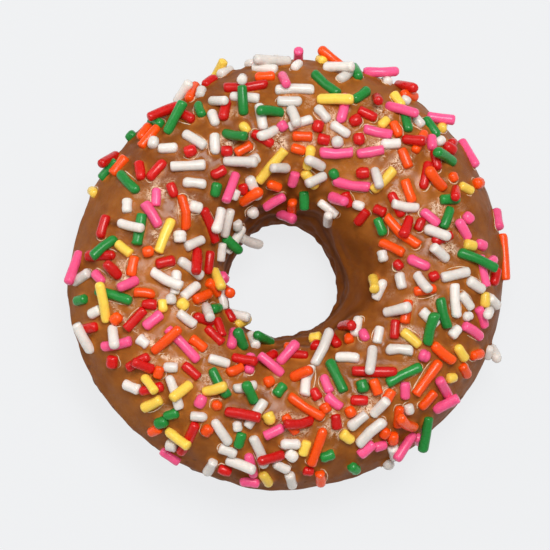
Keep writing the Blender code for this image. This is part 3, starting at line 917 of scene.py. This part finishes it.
def make_rims(rows, face, outward):
    """Rims of glaze at the feet of some of the sprinkles, painted pale as highlights.

    Each is a thin round thread along part of a long oval round the sprinkle's foot, laid on the
    glaze's nearest point. Its thickness follows the sine of the way along it.
    """
    draw = np.random.default_rng(61)
    flat, normals = face.reshape(-1, 3), outward.reshape(-1, 3)
    steps, sides = 15, 6
    way = np.linspace(0, 1, steps)
    turn = np.linspace(0, 2 * np.pi, sides, endpoint=False)
    threads = []
    for row in rows:
        start, end, radius = row["start"], row["end"], row["radius"]
        first, span = draw.uniform(0, 2 * np.pi), draw.uniform(0.9, 2.9)
        offset, thick = draw.uniform(*RIM_OFFSET) * MM, draw.uniform(*RIM_RADIUS) * MM
        if row["kind"] not in ("flat", "placed") or draw.uniform() > RIM_SHARE:
            continue
        axis = unit(end - start)
        side = np.cross(row["outward"], axis)
        bearing = first + span * way
        lengthwise = np.tanh(2.5 * np.cos(bearing)) * np.linalg.norm(end - start) / 2
        lengthwise = lengthwise + (radius + offset) * np.cos(bearing)
        sideways = (radius + offset * (1 + 0.3 * np.sin(5 * bearing + first))) * np.sin(bearing)
        path = (start + end) / 2 + lengthwise[:, None] * axis + sideways[:, None] * side
        near = np.flatnonzero(np.linalg.norm(flat - (start + end) / 2, axis=1)
                              < np.linalg.norm(end - start) / 2 + radius + 2.5 * MM)
        closest = near[np.linalg.norm(flat[near][None] - path[:, None], axis=2).argmin(axis=1)]
        up = normals[closest]
        path = path + ((flat[closest] - path) * up).sum(axis=1)[:, None] * up
        across = np.cross(unit(np.gradient(path, axis=0)), up)
        thickness = thick * np.sin(np.pi * (0.04 + 0.92 * way)) ** 0.7
        circle = np.cos(turn)[:, None] * across[:, None] + np.sin(turn)[:, None] * up[:, None]
        threads.append(path[:, None] + thickness[:, None, None] * circle)
    rings = np.array(threads)
    quads = repeated(net(steps, sides, 1), len(rings), steps * sides)
    caps = np.stack([np.arange(sides), np.arange(sides)[::-1] + (steps - 1) * sides])
    caps = repeated(caps, len(rings), steps * sides)
    place(mesh_from("glaze_rim_highlights", rings, quads + caps), "icing", rim_material())


def make_sprinkles(rows, name, colour):
    """All the sprinkles of one colour, as one piece.

    Each is a circle carried along a slightly bent axis. Near an end its radius follows a circle,
    or a squarer curve where the end is blunter, with small random differences.
    """
    own = [row for row in rows if row["colour"] == name]
    draw = np.random.default_rng(100 + sorted(COLOURS).index(name))
    count, sides = len(own), 10
    start, end = column(own, "start"), column(own, "end")
    radius, outward = column(own, "radius"), column(own, "outward")
    axis = end - start
    core = np.linalg.norm(axis, axis=1, keepdims=True)
    axis = axis / core
    side = unit(np.cross(axis, outward))
    upward = np.cross(side, axis)

    power = 2.1 + 3.6 * draw.uniform(size=(count, 2)) ** 1.3
    inset = np.array([0.0, 0.10, 0.36, 0.82])
    ends = (1 - (1 - inset[None, None, :]) ** power[..., None]) ** (1 / power[..., None])
    whole = core + 2 * radius[:, None]
    reach = inset[None, :] * radius[:, None]
    along = np.concatenate([reach, whole / 2, whole - reach[:, ::-1]], axis=1)
    fat = np.concatenate([ends[:, 0], np.full((count, 1), 0.99), ends[:, 1, ::-1]], axis=1)
    fat = fat * (1 + 0.035 * draw.normal(size=fat.shape))
    bulb = draw.uniform(size=(count, 2)) < 0.18
    fat[:, 2:4] *= 1 + 0.07 * bulb[:, :1]
    fat[:, 5:7] *= 1 + 0.07 * bulb[:, 1:]
    share = (along / whole - 0.5) * 2
    bend = settings("sprinkles").bend * draw.normal(size=(count, 1)) * (whole / (4.7 * MM)) ** 2
    bend = np.clip(bend, -0.7 * MM, 0.7 * MM)
    sideways = bend * (0.4 - share * share)

    spine = (start - axis * radius[:, None])[:, None, :] + axis[:, None, :] * along[..., None]
    spine = spine + side[:, None, :] * sideways[..., None]
    turn = np.linspace(0, 2 * np.pi, sides, endpoint=False)
    circle = np.cos(turn)[:, None] * side[:, None] + np.sin(turn)[:, None] * upward[:, None]
    rings = spine[:, :, None, :] + (fat * radius[:, None])[..., None, None] * circle[:, None, :, :]
    poles = rings[:, [0, -1], 0, :]
    body = rings[:, 1:-1].reshape(count, -1, 3)
    points = np.concatenate([body, poles], axis=1)
    bands = rings.shape[1] - 2

    quads = repeated(net(bands, sides, 1)[:, ::-1], count, points.shape[1])
    edge = np.arange(sides)
    following = (edge + 1) % sides
    first = np.stack([0 * edge + bands * sides, following, edge], axis=-1)
    last = np.stack([0 * edge + bands * sides + 1, (bands - 1) * sides + edge,
                     (bands - 1) * sides + following], axis=-1)
    caps = repeated(np.concatenate([first, last]), count, points.shape[1])
    mesh = mesh_from("sprinkles_" + name, points, quads + caps)
    paint(mesh, "shade", np.repeat(draw.uniform(size=count), points.shape[1]))
    place(mesh, "icing", sprinkle_material(name, tuple(colour)))


def view_axes():
    """Right, up and back directions of the camera, up being as near +Y as its lean allows."""
    lean, towards = np.radians(LEAN), np.radians(LEAN_TOWARDS)
    back = np.array([np.sin(lean) * np.cos(towards), np.sin(lean) * np.sin(towards), np.cos(lean)])
    up = unit(np.array([0.0, 1.0, 0.0]) - back[1] * back)
    return np.cross(up, back), up, back


def add_camera():
    """Camera at the photograph's angle, with the ring where it stands in the frame."""
    right, up, back = view_axes()
    lens = bpy.data.cameras.new("camera")
    lens.sensor_width = 36.0
    lens.lens = PIXELS_PER_METRE * DISTANCE / PICTURE_WIDTH * lens.sensor_width
    lens.clip_start, lens.clip_end = 0.01, 20.0
    middle = PICTURE_WIDTH / 2
    aim = np.array(AIM) - right * (AIM_PIXEL[0] - middle) / PIXELS_PER_METRE
    aim = aim + up * (AIM_PIXEL[1] - middle) / PIXELS_PER_METRE
    camera = bpy.data.objects.new("camera", lens)
    turn = Matrix((right, up, back)).transposed().to_4x4()
    camera.matrix_world = Matrix.Translation(Vector(aim + back * DISTANCE)) @ turn
    bpy.context.scene.collection.objects.link(camera)
    bpy.context.scene.camera = camera


def add_lamp(name, spot, size, power):
    """Rectangular area lamp that faces the ring."""
    data = bpy.data.lights.new(name, "AREA")
    data.shape = "RECTANGLE"
    data.size, data.size_y = size
    data.energy = power
    lamp = bpy.data.objects.new(name, data)
    spot = Vector(spot)
    lamp.matrix_world = Matrix.Translation(spot) @ spot.to_track_quat("Z", "Y").to_matrix().to_4x4()
    bpy.context.scene.collection.objects.link(lamp)


class DOUGHNUT_OT_crust(Operator):
    """Make the browned crust in place of the plain ring"""

    bl_idname = "doughnut.crust"
    bl_label = "Crust"

    def execute(self, context):
        make_crust()
        return {"FINISHED"}


class DOUGHNUT_OT_topping(Operator):
    """Make the caramel glaze and the sprinkles that lie in it"""

    bl_idname = "doughnut.topping"
    bl_label = "Glaze and sprinkles"

    def execute(self, context):
        rows = scatter()
        if not rows:
            raise RuntimeError("no sprinkle found a place on the glaze")
        make_rims(rows, *make_glaze(rows))
        colours = settings("sprinkles")
        for name in COLOURS:
            make_sprinkles(rows, name, getattr(colours, name))
        return {"FINISHED"}


class DOUGHNUT_OT_stage(Operator):
    """Lay the pale floor and set the lights and the camera"""

    bl_idname = "doughnut.stage"
    bl_label = "Stage"

    def execute(self, context):
        sizes = settings("stage")
        scene = context.scene
        edge = np.array([[-4, -4, 0], [4, -4, 0], [4, 4, 0], [-4, 4, 0]], dtype=float)
        floor_mesh = mesh_from("floor", edge, [[0, 1, 2, 3]])
        floor = bpy.data.objects.new("floor", floor_mesh)
        floor.location.z = -FLOOR_DROP
        scene.collection.objects.link(floor)
        made = Material("pale_floor")
        made.set(Base_Color=(*sizes.floor_colour, 1.0), Roughness=0.8, Specular_IOR_Level=0.1,
                 Emission_Color=FLOOR_LIGHT, Emission_Strength=sizes.floor_glow)
        floor_mesh.materials.append(made.material)
        world = bpy.data.worlds.new("room")
        world.use_nodes = True
        backdrop = world.node_tree.nodes["Background"]
        backdrop.inputs["Color"].default_value = (1.0, 1.0, 1.0, 1.0)
        backdrop.inputs["Strength"].default_value = sizes.room_light
        scene.world = world
        add_lamp("main_lamp", *MAIN_LAMP, sizes.main_light)
        add_lamp("side_lamp", *SIDE_LAMP, sizes.side_light)
        add_camera()
        scene.view_settings.view_transform = "Standard"
        scene.view_settings.look = "None"
        return {"FINISHED"}


class DOUGHNUT_PT_panel(Panel):
    """Lists the doughnut's sizes, colours and pieces"""

    bl_idname = "DOUGHNUT_PT_panel"
    bl_label = "Baked doughnut"
    bl_space_type = "VIEW_3D"
    bl_region_type = "UI"
    bl_category = "Doughnut"

    def draw(self, context):
        for group, _ in GROUPS:
            box = self.layout.box()
            box.label(text=group.capitalize())
            values = settings(group)
            for name in values.__annotations__:
                box.prop(values, name)
        for operator in OPERATORS:
            self.layout.operator(operator.bl_idname)


GROUPS = (("ring", RingSizes), ("glaze", GlazeSizes), ("sprinkles", SprinkleSizes),
          ("stage", StageSizes))
OPERATORS = (DOUGHNUT_OT_crust, DOUGHNUT_OT_topping, DOUGHNUT_OT_stage)


def register():
    """Register the classes and put the property groups on the scene."""
    for name, group in GROUPS:
        bpy.utils.register_class(group)
        setattr(bpy.types.Scene, "doughnut_" + name, PointerProperty(type=group))
    for item in (*OPERATORS, DOUGHNUT_PT_panel):
        bpy.utils.register_class(item)


def unregister():
    """Take the classes and the property groups away again."""
    for item in (DOUGHNUT_PT_panel, *reversed(OPERATORS)):
        bpy.utils.unregister_class(item)
    for name, group in reversed(GROUPS):
        delattr(bpy.types.Scene, "doughnut_" + name)
        bpy.utils.unregister_class(group)


def main():
    """Make every piece and the stage."""
    register()
    bpy.ops.doughnut.crust()
    bpy.ops.doughnut.topping()
    bpy.ops.doughnut.stage()
    bpy.context.view_layer.update()


if __name__ == "__main__":
    main()
